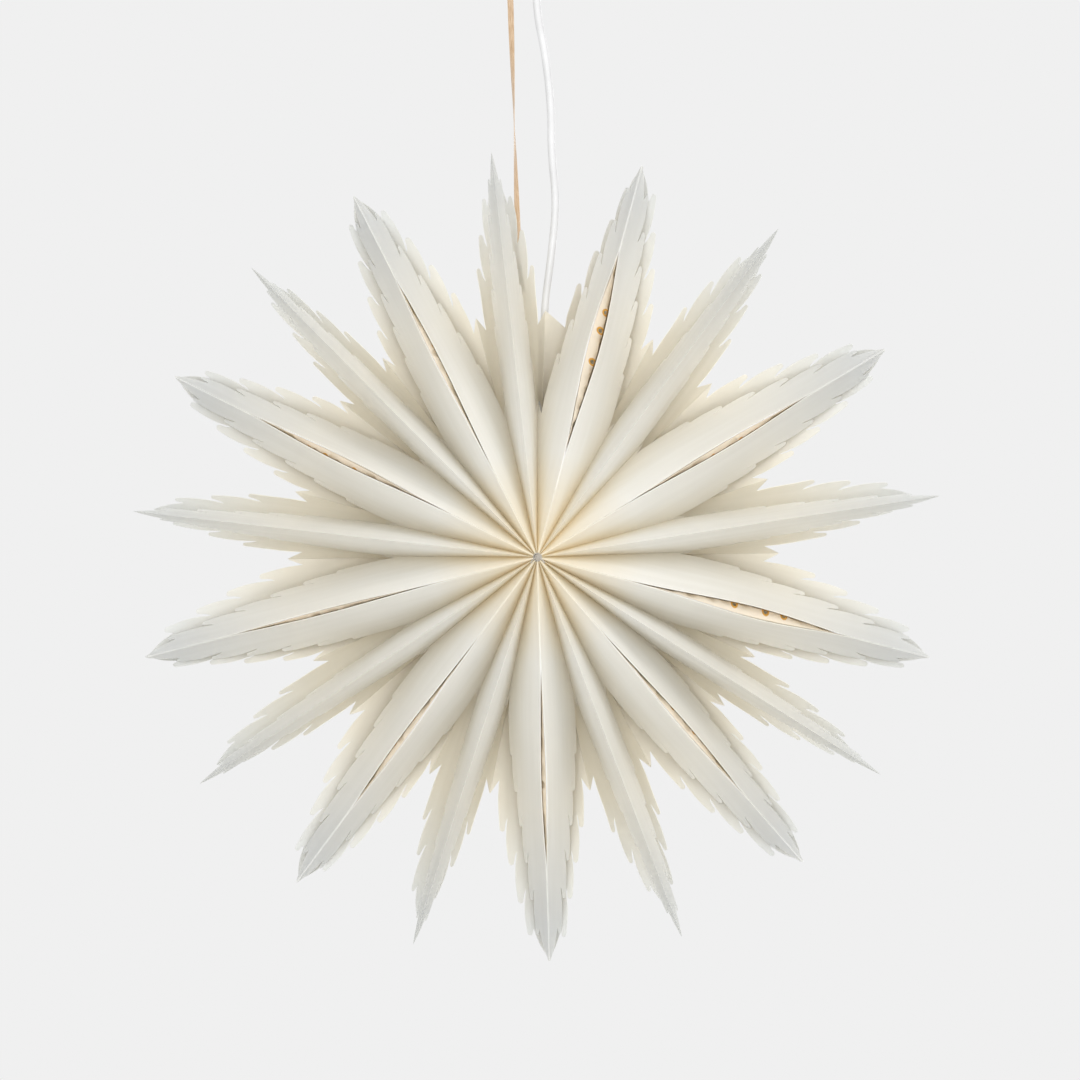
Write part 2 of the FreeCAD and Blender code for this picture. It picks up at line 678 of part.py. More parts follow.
def hex_nut(across, bore, height, base):
    corners = []
    for i in range(7):
        turn = math.radians(60 * i)
        corners.append(base + V(math.cos(turn), math.sin(turn), 0) * across)
    body = Part.Face(Part.makePolygon(corners)).extrude(AXIS_Z * height)
    return body.cut(cylinder(bore, height, base))


def crossbar():
    strip = Part.makeBox(2 * BAR_REACH, BAR_WIDTH, BAR_THICKNESS, V(-BAR_REACH, -BAR_WIDTH / 2, BAR_BOTTOM))
    parts = [strip]
    for side in (-1, 1):
        x = side * (BAR_REACH - BAR_THICKNESS / 2) - BAR_THICKNESS / 2
        parts.append(Part.makeBox(BAR_THICKNESS, BAR_WIDTH, BAR_TAB, V(x, -BAR_WIDTH / 2, BAR_BOTTOM)))
    bar = fused(parts)
    bar = bar.cut(cylinder(STUD_RADIUS + FIT_GAP / 2, 2 * BAR_THICKNESS, V(0, 0, BAR_BOTTOM - 1)))
    hole = cylinder(STUD_RADIUS + FIT_GAP / 2, 4 * BAR_REACH, V(-2 * BAR_REACH, 0, SCREW_Z), V(1, 0, 0))
    return bar.cut(hole)


def cup_screws():
    screws = []
    for side in (-1, 1):
        outward = V(side, 0, 0)
        head_spot = V(side * (CUP_RADIUS + NUT_GAP), 0, SCREW_Z)
        head = cylinder(SCREW_HEAD_RADIUS, SCREW_HEAD, head_spot, outward)
        shaft_length = CUP_RADIUS - BAR_REACH + BAR_THICKNESS + SCREW_REACH
        shaft = cylinder(STUD_RADIUS, shaft_length, head_spot + outward, outward * -1)
        screws.append(head.fuse(shaft))
    return Part.makeCompound(screws)


GLAND_SPOT = V(CORD_POINTS[-1][0], CORD_POINTS[-1][1], 0)
GLAND_BOTTOM = CENTRE.z + CORD_POINTS[-1][2]
EYE_SPOT = V(RIBBON_X, RIBBON_Y, 0)
FLOOR = -CUP_BOTTOM + CUP_WALL


def canopy_cup():
    outer = cylinder(CUP_RADIUS, CUP_BOTTOM - CUP_TOP, V(0, 0, -CUP_BOTTOM))
    inner = cylinder(CUP_RADIUS - CUP_WALL, CUP_BOTTOM, V(0, 0, FLOOR))
    lowest = [e for e in outer.Edges if abs(e.BoundBox.ZMax + CUP_BOTTOM) < 0.01 and e.Closed]
    outer = outer.makeFillet(CUP_CORNER, lowest)
    lowest = [e for e in inner.Edges if abs(e.BoundBox.ZMax - FLOOR) < 0.01 and e.Closed]
    inner = inner.makeFillet(CUP_CORNER - CUP_WALL, lowest)
    cup = outer.cut(inner)
    cup = cup.cut(cylinder(GLAND_STEM + FIT_GAP, 3 * CUP_WALL, GLAND_SPOT - AXIS_Z * (CUP_BOTTOM + 1)))
    cup = cup.cut(cylinder(STUD_RADIUS + FIT_GAP, 3 * CUP_WALL, EYE_SPOT - AXIS_Z * (CUP_BOTTOM + 1)))
    hole = cylinder(STUD_RADIUS + FIT_GAP, 4 * CUP_RADIUS, V(-2 * CUP_RADIUS, 0, SCREW_Z), V(1, 0, 0))
    return cup.cut(hole)


def cord_gland():
    outline = [
        (0, GLAND_BOTTOM), (CORD_DIAMETER / 2 + CORD_COLLAR, GLAND_BOTTOM),
        (GLAND_RADIUS, -CUP_BOTTOM - GLAND_RIM),
        (GLAND_RADIUS, -CUP_BOTTOM), (GLAND_STEM, -CUP_BOTTOM), (GLAND_STEM, FLOOR + GLAND_NOSE),
        (0, FLOOR + GLAND_NOSE),
    ]
    return revolved(outline, GLAND_SPOT)


def gland_nut():
    return hex_nut(GLAND_NUT, GLAND_STEM + FIT_GAP / 2, GLAND_NUT_HEIGHT, GLAND_SPOT + AXIS_Z * FLOOR)


def terminal_block():
    x, y, z = BLOCK_SIZE
    corner = GLAND_SPOT + V(-x / 2, -y / 2, FLOOR + GLAND_NOSE)
    block = Part.makeBox(x, y, z, corner)
    for step in (0.25, 0.75):
        top = corner + V(x * step, y / 2, z * 0.5)
        block = block.cut(cylinder(BLOCK_BORE, z, top))
    return block


def ribbon_eye():
    loop_z = -CUP_BOTTOM - SMALL_EYE_DROP - SMALL_EYE_WIRE - SMALL_EYE_RADIUS
    loop = ring(SMALL_EYE_RADIUS, SMALL_EYE_WIRE, EYE_SPOT + AXIS_Z * loop_z, AXIS_Y)
    bottom = EYE_SPOT + AXIS_Z * (-CUP_BOTTOM - SEAT_HEIGHT)
    seat = cylinder(STUD_RADIUS + SEAT_WIDTH, SEAT_HEIGHT, bottom)
    stud_length = SEAT_HEIGHT + CUP_WALL + NUT_HEIGHT + STUD_END
    stud = cylinder(STUD_RADIUS, stud_length, bottom)
    return fused([loop, seat, stud])


def eye_nuts():
    under_bar = hex_nut(NUT_RADIUS, STUD_RADIUS + NUT_GAP, NUT_HEIGHT, V(0, 0, BAR_BOTTOM - NUT_HEIGHT))
    on_floor = hex_nut(NUT_RADIUS, STUD_RADIUS + NUT_GAP, NUT_HEIGHT, EYE_SPOT + AXIS_Z * FLOOR)
    return Part.makeCompound([under_bar, on_floor])


# ---- write every piece ----
for bag_index in range(BAGS):
    number = str(bag_index + 1)
    export("front_wall_" + number, wall(bag_index, -1))
    export("back_wall_" + number, wall(bag_index, 1))
    export("side_wall_" + number, side_wall(bag_index))

export("front_tie", thread_tie(-1))
export("back_tie", thread_tie(1))
export("closure_dots", closure_dots())
export("ribbon_tab", ribbon_tab())
export("hanging_ribbon", hanging_ribbon())
export("ribbon_knot", ribbon_knot())
export("lamp_cord", lamp_cord())
export("cord_nipple", cord_nipple())
export("holder_cap", holder_cap())
export("holder_body", holder_body())
export("holder_ring", holder_ring())
export("holder_insert", holder_insert())
export("contact_tongue", contact_tongue())
export("screw_shell", screw_shell())
export("bulb_cap", bulb_cap())
export("bulb_tip", bulb_tip())
export("bulb_globe", bulb_globe())
export("ceiling_hook", ceiling_hook())
export("hanging_link", hanging_link())
export("hanger_eye", hanger_eye())
export("eye_nuts", eye_nuts())
export("crossbar", crossbar())
export("cup_screws", cup_screws())
export("canopy_cup", canopy_cup())
export("cord_gland", cord_gland())
export("gland_nut", gland_nut())
export("terminal_block", terminal_block())
export("ribbon_eye", ribbon_eye())
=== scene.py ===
import math

import bmesh
import bpy
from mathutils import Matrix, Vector, noise
from mathutils.geometry import delaunay_2d_cdt


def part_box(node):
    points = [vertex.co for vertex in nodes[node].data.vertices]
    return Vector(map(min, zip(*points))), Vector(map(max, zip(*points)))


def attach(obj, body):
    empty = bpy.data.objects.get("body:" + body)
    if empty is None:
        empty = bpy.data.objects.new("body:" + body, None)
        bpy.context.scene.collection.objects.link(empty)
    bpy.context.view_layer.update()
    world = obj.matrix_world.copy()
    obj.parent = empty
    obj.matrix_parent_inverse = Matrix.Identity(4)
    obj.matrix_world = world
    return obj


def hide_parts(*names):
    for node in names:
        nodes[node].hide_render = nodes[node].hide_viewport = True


# Folded paper star pendant. The star's lengths are in millimetres and scaled by MM, angles are in degrees.
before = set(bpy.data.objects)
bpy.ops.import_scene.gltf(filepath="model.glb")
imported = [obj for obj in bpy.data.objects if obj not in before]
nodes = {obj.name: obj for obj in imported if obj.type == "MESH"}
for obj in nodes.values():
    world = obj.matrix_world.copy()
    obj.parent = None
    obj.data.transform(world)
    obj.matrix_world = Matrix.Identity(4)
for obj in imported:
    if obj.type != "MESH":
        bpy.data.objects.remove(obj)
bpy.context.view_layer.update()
MM = 0.001

# ---- the star's sizes: as the CAD has them, but with finer paper, holes and tooth tips ----
CENTRE = Vector((0, 0, -508))
TIP_RADIUS = 300.0
BACK_NARROW_RADIUS = 288.0
HUB_HALF_DEPTH = 75.0
WIDE_TIP_DEPTH = 10.0
NARROW_TIP_DEPTH = 22.0
BACK_NARROW_DEPTH = 26.0
FIRST_RIDGE = -0.1          # direction of the first wide point, 0 is straight down
BAG_SPANS = (39.3, 34.6, 45.2, 44.2, 42.0, 36.6, 40.8, 39.1)  # the last bag takes the rest of the turn
RIDGE_SHARES = (0.486, 0.480, 0.509, 0.518, 0.512, 0.484, 0.490, 0.499, 0.490)
FRONT = {"share": 0.70, "radius": 115.5, "depth": 4.0, "taper": 0.73, "power": 1.34}
BACK = {"share": 0.61, "radius": 183.0, "depth": 0.0, "taper": 0.705, "power": 0.98}
BACK_SHIFT = Vector((-3.0, 3.6, 3.6))
LEVEL_BAGS = (3, 4)         # their back pleats sit straight behind the front ones
SLIM_BAG = 4
SLIM_TAPER = 0.88
SLIM_POWERS = (1.0, 0.45)   # front, back
PAPER = 0.45
FIRST_TOOTH = 15.0
TOOTH_PITCH = 26.0
SLOT_LENGTH = 11.0
TOOTH_ROUND = 2.4           # how blunt the tooth tips are
ROUND_SHARE = 0.42          # and at most this share of the tooth's height
TIP_TURNS = (-1.5, -0.8, -0.1, 0.6, 1.1, 1.5)  # points round a tooth tip, in radians
TOOTH_JITTER = 2.5
SLOT_JITTER = 2.0
SLOT_BOW = -2.0             # how far the edges of slots and teeth curve
TOOTH_BOW = 0.8
FOLD_SLOT_BOW = -1.2
FOLD_SLOT_LENGTH = 11.0
FOLD_SLOT_WIDTH = 7.5
HOLLOW_RADIUS = 85.0
HOLLOW_CORNER = 45.0
HOLLOW_BOW = 9.0
END_NOTCH = 18.0
END_INSET = 1.4
SIDE_INSET = 1.0
HOLE_RADII = (105.0, 148.0, 172.0, 186.0, 220.0, 262.0)
HOLE_RADIUS = 1.7
HOLE_SHADE_RING = 1.0              # width of the ring of painted amber shade round a punched hole
SHADE_RING_FADE = 0.5              # and how far its painted shade fades out
HOLE_STEPS = 14
CLOSURE_WALL = 4
CLOSURE_REST = 1.95         # its dots hold the sheets this much further apart

# ---- how the soft sheets bend ----
HUB_OPENING = 2.6           # paper corner that the thread closes
RIDGE_BOW = (1.9, 2.4, 4.2, 2.4, 4.8, 2.2, 2.6, 1.7, 2.2)  # half the gap between paired ridges
BOW_SKEW = 1.25             # the gap is widest a little outside its middle
BOW_POWER = 1.6
BOW_FADE = 1.7              # how fast the bow dies out from ridge to valley
SLANTED = (1, -1, -1, 1, 1, 1, -1, -1, 1)  # which sheet of the pair lies across the gap
BOW_START = 62.0
BOW_END = 238.0
GROOVE = 1.7                # depth at which the paired sheets meet, as a share of their gap
SETTLE = 30.0               # and how much deeper they lie straight
MEET_SHARE = 0.97           # how far off the middle they meet, as a share of half the gap
SHEET_REST = 0.7            # each sheet off the plane between the pair, in paper thicknesses
SIDE_PLEAT_SHADE = 0.35            # the side sheets' painted pleat shade starts part way down the pleat
HOLE_SETBACK = 6.2
PANEL_BULGE = 0.9
EDGE_CURL = 3.2
GRID = 4.2                  # spacing of the points inside a sheet
GRID_START = 0.6            # these four are shares of it
GRID_ROW = 0.87
EDGE_CLEAR = 0.55
HOLE_CLEAR = 0.5
MERGE_WITHIN = 0.00012      # metres
PAPER_CREASE = 32
RIBBON_CREASE = 50


def radial(angle):
    turn = math.radians(angle)
    return Vector((math.sin(turn), 0, -math.cos(turn)))


def sideways(angle):
    return radial(angle + 90)


def star_point(angle, radius, depth):
    return CENTRE + radial(angle) * radius + Vector((0, depth, 0))


def bag_angles():
    spans = list(BAG_SPANS)
    spans.append(360.0 - sum(spans))
    wide = [FIRST_RIDGE]
    for span in spans:
        wide.append(wide[-1] + span)
    return wide, [wide[i] + spans[i] * RIDGE_SHARES[i] for i in range(len(spans))]


WIDE, NARROW = bag_angles()
BAGS = len(NARROW)


def smooth(t):
    t = min(1.0, max(0.0, t))
    return t * t * (3 - 2 * t)


def bow(index, radius):
    """Half the gap between the two ridges of a wide point."""
    t = (radius - BOW_START) / (BOW_END - BOW_START)
    if not 0 < t < 1:
        return 0.0
    return RIDGE_BOW[index % BAGS] * math.sin(math.pi * t ** BOW_SKEW) ** BOW_POWER


# ---- flat cut shapes ----
def tooth_places(length, fold_x):
    places = []
    x = length - FIRST_TOOTH
    while x - SLOT_LENGTH > fold_x + 0.5 + SLOT_LENGTH / 2:
        places.append(x)
        x -= TOOTH_PITCH
    return places


def edge_points(a, b, bulge=0.0, step=3.0):
    """Points from a towards b, without b, bowed to the left of the run by bulge."""
    run = b - a
    count = max(1, round(run.length / step))
    left = Vector((-run.y, run.x)).normalized() if run.length else Vector((0, 0))
    return [
        a + run * (k / count) + left * (bulge * math.sin(math.pi * k / count))
        for k in range(count)
    ]


def leaf_boundary(length, fold_x, fold_d, form, seed):
    """Closed flat boundary of one panel: out along the ridge, back along the teeth and the valley."""
    fold_length = math.hypot(fold_x, fold_d)
    ridge_in = Vector((HUB_OPENING, 0))
    tip = Vector((length, 0))
    points = edge_points(ridge_in, tip)
    last = tip
    width_before = None
    for n, x in enumerate(tooth_places(length, fold_x)):
        jitter = noise.noise(Vector((seed * 3.7, n * 1.9, 0.5)))
        share = (x - fold_x) / (length - fold_x)
        width = fold_d * (1 - form["taper"] * share ** form["power"])
        if width_before is None:
            slot_end = Vector((x - SLOT_LENGTH * 0.6, width * 0.7))
        else:
            slot_end = Vector((x - SLOT_LENGTH + jitter * SLOT_JITTER, width_before))
        tooth = Vector((x + jitter * TOOTH_JITTER, width))
        points += edge_points(last, slot_end, SLOT_BOW)
        blunt = min(TOOTH_ROUND, (width - slot_end.y) * ROUND_SHARE)
        middle = tooth - Vector((blunt, blunt))
        turns = [middle + Vector((math.cos(a), math.sin(a))) * blunt for a in TIP_TURNS]
        points += edge_points(slot_end, turns[0], TOOTH_BOW)
        points += turns[:-1]
        last = turns[-1]
        width_before = width
    slot_d = fold_d - FOLD_SLOT_WIDTH
    if width_before is not None:
        slot_d = min(slot_d, width_before - 1.0)
    slot_end = Vector((fold_x - FOLD_SLOT_LENGTH, slot_d))
    fold_end = Vector((fold_x, fold_d))
    points += edge_points(last, slot_end, FOLD_SLOT_BOW)
    points += edge_points(slot_end, fold_end)
    fold_in = fold_end * (HUB_OPENING / fold_length)
    points += edge_points(fold_end, fold_in)
    points.append(fold_in)
    return points


def inside(point, polygon):
    found = False
    j = len(polygon) - 1
    for i in range(len(polygon)):
        a, b = polygon[i], polygon[j]
        if (a.y > point.y) != (b.y > point.y):
            if point.x < (b.x - a.x) * (point.y - a.y) / (b.y - a.y) + a.x:
                found = not found
        j = i
    return found


def circle(centre, radius):
    turns = [2 * math.pi * k / HOLE_STEPS for k in range(HOLE_STEPS)]
    return [centre + Vector((math.cos(turn), math.sin(turn))) * radius for turn in turns]


def flat_mesh(boundary, holes=()):
    """Triangles over a flat boundary, less round holes given as (centre, radius)."""
    points = list(boundary)
    loops = [list(range(len(points)))]
    for centre, radius in holes:
        first = len(points)
        points += circle(centre, radius)
        loops.append(list(range(first, len(points))))
    # points round each hole that hold the edge of its painted shade ring
    for centre, radius in holes:
        for wider in (HOLE_SHADE_RING, HOLE_SHADE_RING + SHADE_RING_FADE):
            points += circle(centre, radius + wider)
    edges = []
    for loop in loops:
        edges += [(loop[k], loop[(k + 1) % len(loop)]) for k in range(len(loop))]
    low_x = min(p.x for p in boundary)
    high_x = max(p.x for p in boundary)
    low_y = min(p.y for p in boundary)
    high_y = max(p.y for p in boundary)
    row = 0
    y = low_y + GRID * GRID_START
    while y < high_y:
        x = low_x + GRID * (GRID_START + 0.5 * (row % 2))
        while x < high_x:
            spot = Vector((x, y))
            near_edge = any((spot - p).length < GRID * EDGE_CLEAR for p in points[: len(boundary)])
            near_hole = any((spot - c).length < r + HOLE_SHADE_RING + GRID * HOLE_CLEAR for c, r in holes)
            if not near_edge and not near_hole and inside(spot, boundary):
                points.append(spot)
            x += GRID
        y += GRID * GRID_ROW
        row += 1
    verts, _, faces, _, _, _ = delaunay_2d_cdt(points, edges, [], 0, 1e-5)
    kept = []
    for face in faces:
        middle = sum((verts[k] for k in face), Vector((0, 0))) / len(face)
        if inside(middle, boundary) and not any((middle - c).length < r * 0.98 for c, r in holes):
            a, b, c = (verts[k] for k in face[:3])
            kept.append(list(face) if (b - a).cross(c - a) > 0 else list(face)[::-1])
    return verts, kept


# ---- turning flat sheets into folded ones ----
def sheet_object(name, verts, faces, fold, grain, hole_shade, outward, materials):
    """Thin paper object from shared points. With outward given, each face is turned to look that way."""
    mesh = bpy.data.meshes.new(name)
    bm = bmesh.new()
    fold_layer = bm.verts.layers.float.new("fold")
    hole_shade_layer = bm.verts.layers.float.new("hole_shade")
    grain_layer = bm.verts.layers.float_vector.new("grain")
    made = []
    for n, co in enumerate(verts):
        v = bm.verts.new(co * MM)
        v[fold_layer] = fold[n]
        v[hole_shade_layer] = hole_shade[n] if hole_shade else 0.0
        v[grain_layer] = grain[n]
        made.append(v)
    for face in faces:
        try:
            bm.faces.new([made[k] for k in face])
        except ValueError:
            pass    # this face is there already
    bmesh.ops.remove_doubles(bm, verts=bm.verts, dist=MERGE_WITHIN)
    loose = [v for v in bm.verts if not v.link_faces]
    bmesh.ops.delete(bm, geom=loose, context="VERTS")
    bm.normal_update()
    if outward is not None:
        turned = [f for f in bm.faces if f.normal.dot(outward) < 0]
        bmesh.ops.reverse_faces(bm, faces=turned)
    bm.to_mesh(mesh)
    bm.free()
    for material in materials:
        mesh.materials.append(material)
    obj = bpy.data.objects.new(name, mesh)
    bpy.context.scene.collection.objects.link(obj)
    shell = obj.modifiers.new("thickness", "SOLIDIFY")
    shell.thickness = PAPER * MM
    shell.offset = -1
    shell.use_even_offset = False
    shell.material_offset = 1 if len(materials) > 1 else 0
    bake_modifiers(obj)
    crease(obj, PAPER_CREASE)
    return obj


def bake_modifiers(obj):
    bpy.context.view_layer.update()
    graph = bpy.context.evaluated_depsgraph_get()
    done = bpy.data.meshes.new_from_object(obj.evaluated_get(graph))
    obj.modifiers.clear()
    obj.data = done


def crease(obj, degrees):
    """Smooth faces, with edges sharper than this angle kept crisp."""
    bm = bmesh.new()
    bm.from_mesh(obj.data)
    limit = math.radians(degrees)
    for f in bm.faces:
        f.smooth = True
    for e in bm.edges:
        e.smooth = len(e.link_faces) == 2 and e.calc_face_angle(0) < limit
    bm.to_mesh(obj.data)
    bm.free()


def panel_points(hub, tip, fold_end, form, wide_index, into, seed):
    """One panel's points, faces, how deep in the pleat each point is, and its grain coordinates."""
    along = (tip - hub).normalized()
    to_fold = fold_end - hub
    fold_x = to_fold.dot(along)
    across = to_fold - along * fold_x
    fold_d = across.length
    across.normalize()
    normal = along.cross(across).normalized()
    if normal.y * (1 if hub.y > CENTRE.y else -1) < 0:
        normal.negate()
    length = (tip - hub).length
    boundary = leaf_boundary(length, fold_x, fold_d, form, seed)
    flat, faces = flat_mesh(boundary)
    if along.cross(across).dot(normal) < 0:
        faces = [face[::-1] for face in faces]
    verts = []
    fold = []
    grain = []
    lean = noise.noise(Vector((seed * 1.31, 2.2, 7.7)))
    for p in flat:
        if p.x < fold_x:
            width = max(0.001, fold_d * p.x / fold_x)
            u = min(1.0, p.y / width)
            lift = PANEL_BULGE * 4 * u * (1 - u) * (p.x / fold_x)
        else:
            share = (p.x - fold_x) / (length - fold_x)
            width = fold_d * (1 - form["taper"] * share ** form["power"])
            u = min(1.15, p.y / max(0.001, width))
            hold = 1 - smooth(share * 3)
            lift = PANEL_BULGE * 4 * u * (1 - u) * hold
            lift += EDGE_CURL * (0.5 + lean) * u * u * math.sin(math.pi * share) * (1 - hold)
        spot = hub + along * p.x + across * p.y + normal * lift
        if wide_index is not None:
            radius = p.x * TIP_RADIUS / length
            spot += into * ((bow(wide_index, radius) + PAPER) * (1 - min(1.0, u)) ** BOW_FADE)
        verts.append(spot)
        # how far across towards the valley, which sets the painted pleat shade
        fold.append(min(1.0, max(0.0, u)))
        grain.append(Vector((p.x, p.y, seed * 7.0)))
    return verts, faces, fold, grain


def wall(bag, side, materials):
    """Front (side -1) or back (side 1) wall of a bag: a panel on each side of its two valleys."""
    face_name = "back" if side > 0 else "front"
    form = BACK if side > 0 else FRONT
    narrow_radius = BACK_NARROW_RADIUS if side > 0 else TIP_RADIUS
    narrow_depth = BACK_NARROW_DEPTH if side > 0 else -NARROW_TIP_DEPTH
    hub = CENTRE + Vector((0, side * HUB_HALF_DEPTH, 0))
    slip = BACK_SHIFT if side > 0 and bag not in LEVEL_BAGS else Vector((0, 0, 0))
    narrow_tip = star_point(NARROW[bag], narrow_radius, narrow_depth) + slip
    verts, faces, fold, grain = [], [], [], []
    for k in (0, 1):
        index = bag + k
        angle = WIDE[index]
        fold_angle = angle + (NARROW[bag] - angle) * form["share"]
        fold_end = star_point(fold_angle, form["radius"], form["depth"]) + slip
        wide_tip = star_point(angle, TIP_RADIUS, side * WIDE_TIP_DEPTH)
        into = sideways(angle) * (1 if k == 0 else -1)
        seed = bag * 4 + k * 2 + (side + 1) * 20
        for tip, wide_index, extra in ((wide_tip, index, 0), (narrow_tip, None, 1)):
            slim = bag == SLIM_BAG and k == 0 and extra == 0
            cut = dict(form, taper=SLIM_TAPER, power=SLIM_POWERS[side > 0]) if slim else form
            v, f, d, g = panel_points(hub, tip, fold_end, cut, wide_index, into, seed + extra)
            first = len(verts)
            verts += v
            faces += [[first + n for n in face] for face in f]
            fold += d
            grain += g
    name = "%s_leaf_%d" % (face_name, bag + 1)
    obj = sheet_object(name, verts, faces, fold, grain, None, None, materials)
    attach(obj, "pendant")
    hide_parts("%s_wall_%d" % (face_name, bag + 1))


def ridge_depth(radius):
    return HUB_HALF_DEPTH - (HUB_HALF_DEPTH - WIDE_TIP_DEPTH) * radius / TIP_RADIUS


def sheet_offset(index, sign, radius, t):
    """How far one of the paired side sheets stands off the point's plane, at depth t under the ridge."""
    rest = PAPER * SHEET_REST
    if index == CLOSURE_WALL and sign > 0:
        rest += CLOSURE_REST * smooth(min(1.0, t / SETTLE))
    b = bow(index, radius)
    meet = b * MEET_SHARE * -SLANTED[index]
    groove = GROOVE * max(b, 1.0)
    if t < groove:
        top = sign * b
        return top + (meet - top) * (t / groove) + sign * rest
    return meet * (1 - smooth((t - groove) / SETTLE)) + sign * rest


def side_boundary():
    """Closed flat boundary of a side sheet, in (radius, depth)."""
    inner = ridge_depth(HOLLOW_CORNER) - SIDE_INSET
    outer_radius = TIP_RADIUS - END_INSET
    outer = ridge_depth(outer_radius) - SIDE_INSET
    front_in = Vector((HOLLOW_CORNER, -inner))
    front_out = Vector((outer_radius, -outer))
    notch = Vector((outer_radius - END_NOTCH, 0))
    back_out = Vector((outer_radius, outer))
    back_in = Vector((HOLLOW_CORNER, inner))
    points = edge_points(front_in, front_out)
    points += edge_points(front_out, notch)
    points += edge_points(notch, back_out)
    points += edge_points(back_out, back_in)
    points += edge_points(back_in, Vector((HOLLOW_RADIUS, 0)), HOLLOW_BOW)
    points += edge_points(Vector((HOLLOW_RADIUS, 0)), front_in, HOLLOW_BOW)
    return points


def side_sheets(index, materials):
    """The two glued sheets under a wide point's pair of ridges."""
    holes = []
    for radius in HOLE_RADII:
        for side in (-1, 1):
            holes.append((Vector((radius, side * (ridge_depth(radius) - HOLE_SETBACK))), HOLE_RADIUS))
    flat, faces = flat_mesh(side_boundary(), holes)
    angle = WIDE[index]
    for sign in (-1, 1):
        verts, fold, grain, hole_shade = [], [], [], []
        for p in flat:
            t = max(0.0, ridge_depth(p.x) - abs(p.y))
            spot = star_point(angle, p.x, p.y) + sideways(angle) * sheet_offset(index, sign, p.x, t)
            verts.append(spot)
            # depth under the ridge, which sets the painted pleat shade
            fold.append(min(1.0, SIDE_PLEAT_SHADE + t / SETTLE))
            grain.append(Vector((p.x, p.y, index * 5.0 + sign)))
            # points by a punched hole get the painted amber shade
            near = min((p - centre).length for centre, _ in holes)
            hole_shade.append(1.0 if near < HOLE_RADIUS + HOLE_SHADE_RING * 1.1 else 0.0)
        name = "side_sheet_%d%s" % (index + 1, "a" if sign < 0 else "b")
        obj = sheet_object(name, verts, faces, fold, grain, hole_shade, sideways(angle) * -sign, materials)
        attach(obj, "pendant")
        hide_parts("side_wall_%d" % (index + 1))


# ---- materials ----
def new_material(name):
    material = bpy.data.materials.new(name)
    material.use_nodes = True
    tree = material.node_tree
    return material, tree, tree.nodes["Principled BSDF"]


def link(tree, a, b):
    tree.links.new(a, b)


def noise_node(tree, scale, detail=3.0, stretch=None, source=None):
    if source is None:
        source = tree.nodes.new("ShaderNodeTexCoord").outputs["Object"]
    if stretch:
        mapping = tree.nodes.new("ShaderNodeMapping")
        mapping.inputs["Scale"].default_value = stretch
        link(tree, source, mapping.inputs["Vector"])
        source = mapping.outputs["Vector"]
    node = tree.nodes.new("ShaderNodeTexNoise")
    node.inputs["Scale"].default_value = scale
    node.inputs["Detail"].default_value = detail
    link(tree, source, node.inputs["Vector"])
    return node


def attribute(tree, name):
    node = tree.nodes.new("ShaderNodeAttribute")
    node.attribute_name = name
    return node


def ramp(tree, source, stops):
    node = tree.nodes.new("ShaderNodeValToRGB")
    node.color_ramp.elements[0].position = stops[0][0]
    node.color_ramp.elements[0].color = (*stops[0][1], 1)
    node.color_ramp.elements[1].position = stops[-1][0]
    node.color_ramp.elements[1].color = (*stops[-1][1], 1)
    for place, colour in stops[1:-1]:
        element = node.color_ramp.elements.new(place)
        element.color = (*colour, 1)
    link(tree, source, node.inputs["Fac"])
    return node


def mixed(tree, kind, factor, a, b):
    node = tree.nodes.new("ShaderNodeMix")
    node.data_type = "RGBA"
    node.blend_type = kind
    if factor is None:
        node.inputs["Factor"].default_value = 1.0
    else:
        link(tree, factor, node.inputs["Factor"])
    link(tree, a, node.inputs["A"])
    link(tree, b, node.inputs["B"])
    return node.outputs["Result"]


def bump(tree, height, strength, distance, below=None):
    node = tree.nodes.new("ShaderNodeBump")
    node.inputs["Strength"].default_value = strength
    node.inputs["Distance"].default_value = distance
    link(tree, height, node.inputs["Height"])
    if below is not None:
        link(tree, below, node.inputs["Normal"])
    return node.outputs["Normal"]


# painted shade round the punched holes, amber like the warm inside of the bag
HOLE_SHADE_AMBER = (0.78, 0.46, 0.1, 1)
PAPER_SPECULAR = 0.25


